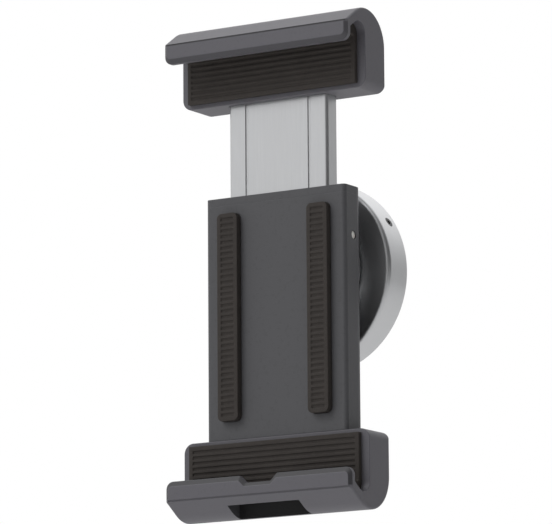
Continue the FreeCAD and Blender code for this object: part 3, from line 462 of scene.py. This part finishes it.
def moulded_rubber(name, base):
    """Matt rubber with fine speckle, dust in its pores and slightly shiny crests."""
    finish = Finish.named(name)
    fine = finish.noise(size=0.00018, detail=3.0)
    speckle = finish.noise(size=0.00045, detail=2.0).between(0.62, 0.72)
    cloud = finish.noise(size=0.006, detail=3.0)
    crest = finish.on_edge(radius=0.0003)
    tone = finish.blend(cloud, shade(base, 0.85), shade(base, 1.2))
    tone = finish.blend(speckle * 0.35, tone, shade(base, 2.6))
    tone = finish.blend(crest * 0.4, tone, shade(base, 1.8))
    roughness = 0.78 + fine * 0.14 - crest * 0.18
    return finish.finished(tone, roughness, fine - speckle * 0.5, relief=0.00002, edge=0.00012,
                           Specular_IOR_Level=0.35)


def dress(names, material):
    """Gives CAD nodes a material."""
    for name in names:
        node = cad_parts[name]
        for index in range(len(node.material_slots)):
            node.material_slots[index].link = "OBJECT"
            node.material_slots[index].material = material


# --- Rubber parts

def prism(outline, low, high):
    """A solid as a bmesh: an outline of (y, z) points, pulled along X from low to high."""
    mesh = bmesh.new()
    cap = mesh.faces.new([mesh.verts.new((low, y, z)) for y, z in outline])
    pulled = bmesh.ops.extrude_face_region(mesh, geom=[cap])["geom"]
    moved = [item for item in pulled if isinstance(item, bmesh.types.BMVert)]
    bmesh.ops.translate(mesh, vec=(high - low, 0, 0), verts=moved)
    bmesh.ops.recalc_face_normals(mesh, faces=mesh.faces)
    return mesh


def cuboid(low, high):
    """A box as a bmesh, from its lowest corner to its highest."""
    mesh = bmesh.new()
    bmesh.ops.create_cube(mesh, size=1.0)
    bmesh.ops.scale(mesh, vec=high - low, verts=mesh.verts)
    bmesh.ops.translate(mesh, vec=(low + high) / 2, verts=mesh.verts)
    return mesh


def bevel(mesh, edges, offset, segments):
    """Rounds a bmesh's given edges."""
    bmesh.ops.bevel(mesh, geom=edges, offset=offset, offset_type="OFFSET", affect="EDGES", segments=segments,
                    profile=0.5, material=-1, clamp_overlap=True)


def edges_at(mesh, **place):
    """The edges whose ends both have the given coordinates, such as y=0.01, z=0.02."""
    return [edge for edge in mesh.edges
            if all(abs(getattr(vert.co, axis) - value) < NEAR for vert in edge.verts
                   for axis, value in place.items())]


def front_faces(mesh, y):
    """The faces that look away from the wall at that depth."""
    return [face for face in mesh.faces if face.normal.y < -FACING
            and abs(face.calc_center_median().y - y) < NEAR]


def add_ribs(mesh, y, border, rubber):
    """Sinks bands into the flat front at depth y, so that grip ribs are left between them."""
    field = front_faces(mesh, y)
    bmesh.ops.inset_region(mesh, faces=field, thickness=border, depth=0.0, use_even_offset=True)
    corners = [vert.co.copy() for face in field for vert in face.verts]
    bounds = [(min(c[axis] for c in corners), max(c[axis] for c in corners)) for axis in (0, 2)]

    def inside(face):
        middle = face.calc_center_median()
        return all(low < middle[axis] < high for axis, (low, high) in zip((0, 2), bounds))

    low, high = bounds[1]
    count = max(2, round((high - low) / rubber.rib_pitch))
    for index in range(1, count):
        faces = [face for face in front_faces(mesh, y) if inside(face)]
        around = {item for face in faces for item in (*face.edges, *face.verts)}
        bmesh.ops.bisect_plane(mesh, geom=faces + list(around), plane_no=(0, 0, 1),
                               plane_co=(0, 0, low + (high - low) * index / count))
    bands = [face for face in front_faces(mesh, y) if inside(face)]
    bmesh.ops.inset_individual(mesh, faces=bands, thickness=rubber.rib_width / 2, depth=0.0,
                               use_even_offset=True)
    bmesh.ops.inset_individual(mesh, faces=bands, thickness=rubber.rib_height / 2,
                               depth=-rubber.rib_height, use_even_offset=True)


def round_edges(mesh, radius):
    """Rounds all of a bmesh's sharp edges."""
    sharp = [edge for edge in mesh.edges
             if len(edge.link_faces) == 2 and edge.calc_face_angle() > SHARP_ANGLE]
    bevel(mesh, sharp, radius, ROUND_STEPS)


def liner_mesh(low, high, rubber):
    """An upper liner between two corners: a pad, a channel for the tablet's edge, and the roof's filling."""
    seat, back_y, inner_y = high.z - rubber.seat_depth, -rubber.tablet_back, low.y + rubber.lip_lining
    lip_end = seat - rubber.lip_cover
    reach = rubber.groove_radius * math.tan((math.pi / 2 + rubber.roof_slope) / 2)
    ridge = high.z - rubber.groove_radius + reach
    eaves = ridge - (high.y - low.y) * math.tan(rubber.roof_slope)
    mesh = prism([(high.y, low.z), (high.y, ridge), (low.y, eaves), (low.y, lip_end), (inner_y, lip_end),
                  (inner_y, seat), (back_y, seat), (back_y, low.z)], low.x, high.x)
    bevel(mesh, edges_at(mesh, y=high.y, z=ridge), reach, segments=20)
    feet = edges_at(mesh, y=back_y, z=seat) + edges_at(mesh, y=inner_y, z=seat)
    bevel(mesh, feet, rubber.seat_round, segments=6)
    add_ribs(mesh, back_y, rubber.rib_border, rubber)
    return mesh


def cut_away(mesh, cuts):
    """A bmesh with boxes cut out of it."""
    body, cutter = as_object("rubber_blank", mesh), as_object("rubber_cutter", bmesh.new())
    for low, high in cuts:
        swap = cuboid(Vector(low), Vector(high))
        swap.to_mesh(cutter.data)
        swap.free()
        modifier = body.modifiers.new("cut", "BOOLEAN")
        modifier.object, modifier.operation, modifier.solver = cutter, "DIFFERENCE", "EXACT"
        seen = body.evaluated_get(bpy.context.evaluated_depsgraph_get())
        result = bpy.data.meshes.new_from_object(seen)
        body.modifiers.clear()
        body.data = result
    left = bmesh.new()
    left.from_mesh(body.data)
    for item in (body, cutter):
        bpy.data.objects.remove(item)
    return left


def as_object(name, mesh):
    """A bmesh as an object, shaded smooth but for its sharp edges."""
    data = bpy.data.meshes.new(name)
    mesh.to_mesh(data)
    mesh.free()
    data.shade_smooth()
    data.set_sharp_from_angle(angle=SMOOTH_ANGLE)
    made = bpy.data.objects.new(name, data)
    bpy.context.scene.collection.objects.link(made)
    return made


def fit_rubber(name, mesh, body, node, scene):
    """Turns a bmesh into a rubber part that stands for a CAD node and moves with a body."""
    round_edges(mesh, scene.holder_rubber.edge_round)
    bmesh.ops.recalc_face_normals(mesh, faces=mesh.faces)
    piece = as_object(name, mesh)
    piece.data.materials.append(moulded_rubber(name + "_finish", scene.holder_colours.rubber))
    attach(piece, body)
    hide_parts(node)


# --- The studio

SKY_RISE = (-0.1, 1.0)  # heights of a direction between which the sky brightens
SKY_SLANT = 0.3  # how far the sky's dimmer right side leans to the front
SKY_DIM_FADE = (-0.1, 0.75)  # how far to the right the sky starts to dim, and is dimmest


def place_floor(studio, base):
    """A large pale floor with a faint mottle."""
    mesh = bmesh.new()
    bmesh.ops.create_grid(mesh, x_segments=1, y_segments=1, size=studio.floor_size / 2)
    bmesh.ops.translate(mesh, vec=(0, 0, -studio.floor_drop), verts=mesh.verts)
    floor = as_object("floor", mesh)
    finish = Finish.named("floor_finish")
    mottle = finish.noise(size=0.05, detail=3.0)
    tone = finish.blend(mottle, shade(base, 0.985), shade(base, 1.015))
    floor.data.materials.append(finish.finished(tone, 0.7 + mottle * 0.1, mottle, relief=0.00005))


def paint_sky(scene, studio):
    """A plain white backdrop, and a soft sky that is brighter overhead and dimmer to the right."""
    scene.world = bpy.data.worlds.new("studio_sky")
    sky = Finish(scene.world, place="Generated")
    split = sky.split()
    overhead = split["Z"].between(*SKY_RISE) * (studio.sky_top - studio.sky_level)
    right = (split["X"] - split["Y"] * SKY_SLANT).between(*SKY_DIM_FADE) * studio.sky_dimming
    light = (overhead + studio.sky_level) * (1.0 - right)
    glow = sky.node("ShaderNodeBackground", Color=WHITE, Strength=light)
    backdrop = sky.node("ShaderNodeBackground", Color=WHITE, Strength=studio.backdrop)
    seen = sky.node("ShaderNodeLightPath", out="Is_Camera_Ray")
    both = sky.node("ShaderNodeMixShader", Fac=seen, Shader=glow, Shader_001=backdrop)
    sky.node("ShaderNodeOutputWorld", Surface=both)


def hang_lamp(studio):
    """A large soft lamp above the holder's left front."""
    lamp = bpy.data.lights.new("soft_lamp", "AREA")
    lamp.energy, lamp.size = studio.lamp_power, studio.lamp_size
    holder = bpy.data.objects.new("soft_lamp", lamp)
    holder.location = studio.lamp_place
    holder.rotation_mode = "QUATERNION"
    holder.rotation_quaternion = (-Vector(studio.lamp_place)).to_track_quat("-Z", "Y")
    bpy.context.scene.collection.objects.link(holder)


def place_camera(scene, studio):
    """The camera, a little below the holder and to its right."""
    turn, tilt = studio.azimuth, studio.elevation
    back = Vector((math.sin(turn) * math.cos(tilt), -math.cos(turn) * math.cos(tilt), math.sin(tilt)))
    right = Vector((0, 0, 1)).cross(back).normalized()
    up = back.cross(right)
    lean = Matrix.Rotation(studio.roll, 3, back)
    axes = Matrix((lean @ right, lean @ up, back)).transposed()
    data = bpy.data.cameras.new("camera")
    data.sensor_width, data.lens = SENSOR_WIDTH, studio.lens
    data.clip_start, data.clip_end = 0.05, 200.0
    camera = bpy.data.objects.new("camera", data)
    camera.matrix_world = Matrix.Translation(Vector(studio.aim) + back * studio.distance) @ axes.to_4x4()
    scene.collection.objects.link(camera)
    scene.camera = camera


# --- Operators

class HOLDER_OT_jaws(bpy.types.Operator):
    """Give the two jaws their satin anthracite plastic, with painted shade on the lips' bevels, along the
    creases and inside the window
    """

    bl_idname = "holder.jaws"
    bl_label = "Finish the jaws"

    def execute(self, context):
        base, jaws = context.scene.holder_colours.jaw, context.scene.holder_jaws
        for jaw, bevel_shade, crease_shade in (("upper_jaw", jaws.upper_bevel_shade, jaws.upper_crease_shade),
                                               ("lower_jaw", jaws.lower_bevel_shade, jaws.lower_crease_shade)):
            front = -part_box(jaw)[0].y
            # Each jaw's finish is its plastic together with its painted shade.
            dress([jaw], jaw_plastic(jaw + "_finish", base, jaws, front, bevel_shade, crease_shade))
        return {"FINISHED"}


class HOLDER_OT_housing(bpy.types.Operator):
    """Give the housing's shells and cap their darker plastic"""

    bl_idname = "holder.housing"
    bl_label = "Finish the housing"

    def execute(self, context):
        dress(SHELLS, moulded_plastic("housing_plastic_finish", context.scene.holder_colours.shell,
                                      grain_size=0.0005, grain_relief=0.00003))
        return {"FINISHED"}


class HOLDER_OT_bar(bpy.types.Operator):
    """Give the sliding bar its brushed aluminium"""

    bl_idname = "holder.bar"
    bl_label = "Finish the bar"

    def execute(self, context):
        dress(["arm_channel"], brushed_aluminium("bar_finish", context.scene.holder_colours.aluminium))
        return {"FINISHED"}


class HOLDER_OT_turned(bpy.types.Operator):
    """Give the rosette and the swivel's collar their turned aluminium"""

    bl_idname = "holder.turned"
    bl_label = "Finish the turned parts"

    def execute(self, context):
        dress(TURNED, turned_aluminium("turned_finish", context.scene.holder_colours.aluminium))
        return {"FINISHED"}


class HOLDER_OT_steel(bpy.types.Operator):
    """Give the plated parts, springs and screws their steels"""

    bl_idname = "holder.steel"
    bl_label = "Finish the steel parts"

    def execute(self, context):
        colours = context.scene.holder_colours
        dress(PLATED, plated_steel("zinc_finish", colours.zinc))
        dress(SPRINGS, spring_steel("spring_finish", colours.spring))
        dress(SCREWS, blackened_steel("screw_finish", colours.black_steel))
        return {"FINISHED"}


class HOLDER_OT_slides(bpy.types.Operator):
    """Give the slides, the bush and the plunger their waxy plastic"""

    bl_idname = "holder.slides"
    bl_label = "Finish the slides"

    def execute(self, context):
        dress(SLIDES, slide_plastic("slide_finish", context.scene.holder_colours.slide))
        return {"FINISHED"}


class HOLDER_OT_upper_liner(bpy.types.Operator):
    """Make the upper jaw's ribbed rubber liner"""

    bl_idname = "holder.upper_liner"
    bl_label = "Make the upper liner"

    def execute(self, context):
        low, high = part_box("upper_liner")
        mesh = liner_mesh(low, high, context.scene.holder_rubber)
        fit_rubber("upper_liner_rubber", mesh, "arm", "upper_liner", context.scene)
        return {"FINISHED"}


class HOLDER_OT_lower_liner(bpy.types.Operator):
    """Make the lower jaw's ribbed liner, open over the window and behind the notch"""

    bl_idname = "holder.lower_liner"
    bl_label = "Make the lower liner"

    def execute(self, context):
        rubber = context.scene.holder_rubber
        low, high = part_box("lower_liner")
        flipped_low, flipped_high = Vector((low.x, low.y, -high.z)), Vector((high.x, high.y, -low.z))
        mesh = liner_mesh(flipped_low, flipped_high, rubber)
        seat = flipped_high.z - rubber.seat_depth
        window, notch, beyond = rubber.window_half, rubber.notch_half, flipped_high.z + CLEAR
        mesh = cut_away(mesh, [
            ((-window, -rubber.window_front, seat - CLEAR), (window, -rubber.tablet_back, beyond)),
            ((-window, low.y - CLEAR, seat + rubber.seat_round), (window, high.y + CLEAR, beyond)),
            ((-notch, low.y - CLEAR, seat - rubber.lip_cover - CLEAR),
             (notch, low.y + rubber.lip_lining + CLEAR, beyond)),
        ])
        bmesh.ops.scale(mesh, vec=(1, 1, -1), verts=mesh.verts)
        bmesh.ops.recalc_face_normals(mesh, faces=mesh.faces)
        fit_rubber("lower_liner_rubber", mesh, "head", "lower_liner", context.scene)
        return {"FINISHED"}


class HOLDER_OT_back_pads(bpy.types.Operator):
    """Make the two ribbed pads that the tablet's back rests on"""

    bl_idname = "holder.back_pads"
    bl_label = "Make the back pads"

    def execute(self, context):
        rubber = context.scene.holder_rubber
        low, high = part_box("back_pads")
        both = bmesh.new()
        for start, end in ((low.x, low.x + rubber.pad_width), (high.x - rubber.pad_width, high.x)):
            pad = cuboid(Vector((start, low.y, low.z)), Vector((end, high.y, high.z)))
            corners = [edge for edge in pad.edges if abs(edge.verts[0].co.y - edge.verts[1].co.y) > NEAR]
            bevel(pad, corners, rubber.pad_corner, segments=8)
            bmesh.ops.recalc_face_normals(pad, faces=pad.faces)
            add_ribs(pad, low.y, rubber.rib_border, rubber)
            shape = bpy.data.meshes.new("pad_shape")
            pad.to_mesh(shape)
            pad.free()
            both.from_mesh(shape)
            bpy.data.meshes.remove(shape)
        fit_rubber("back_pads_rubber", both, "head", "back_pads", context.scene)
        return {"FINISHED"}


class HOLDER_OT_studio(bpy.types.Operator):
    """Set up the floor, the sky, the soft lamp and the camera"""

    bl_idname = "holder.studio"
    bl_label = "Set up the studio"

    def execute(self, context):
        scene, studio = context.scene, context.scene.holder_studio
        scene.view_settings.view_transform = "Standard"
        place_floor(studio, scene.holder_colours.floor)
        paint_sky(scene, studio)
        hang_lamp(studio)
        place_camera(scene, studio)
        return {"FINISHED"}


# --- Panel and registration

STEPS = (HOLDER_OT_studio, HOLDER_OT_jaws, HOLDER_OT_housing, HOLDER_OT_bar, HOLDER_OT_turned,
         HOLDER_OT_steel, HOLDER_OT_slides, HOLDER_OT_upper_liner, HOLDER_OT_lower_liner,
         HOLDER_OT_back_pads)
GROUPS = {"holder_jaws": HolderJaws, "holder_rubber": HolderRubber, "holder_colours": HolderColours,
          "holder_studio": HolderStudio}


class HOLDER_PT_panel(bpy.types.Panel):
    """Lists the holder's sizes, colours and steps"""

    bl_label = "Tablet holder"
    bl_idname = "HOLDER_PT_panel"
    bl_space_type = "VIEW_3D"
    bl_region_type = "UI"
    bl_category = "Holder"

    def draw(self, context):
        for name, group in GROUPS.items():
            box = self.layout.box()
            for key in group.__annotations__:
                box.prop(getattr(context.scene, name), key)
        for step in STEPS:
            self.layout.operator(step.bl_idname)


def register():
    for part in (*GROUPS.values(), *STEPS, HOLDER_PT_panel):
        bpy.utils.register_class(part)
    for name, group in GROUPS.items():
        setattr(bpy.types.Scene, name, PointerProperty(type=group))


def unregister():
    for name in GROUPS:
        delattr(bpy.types.Scene, name)
    for part in (HOLDER_PT_panel, *reversed(STEPS), *reversed(GROUPS.values())):
        bpy.utils.unregister_class(part)


def main():
    register()
    for step in STEPS:
        group, name = step.bl_idname.split(".")
        getattr(getattr(bpy.ops, group), name)()


if __name__ == "__main__":
    main()
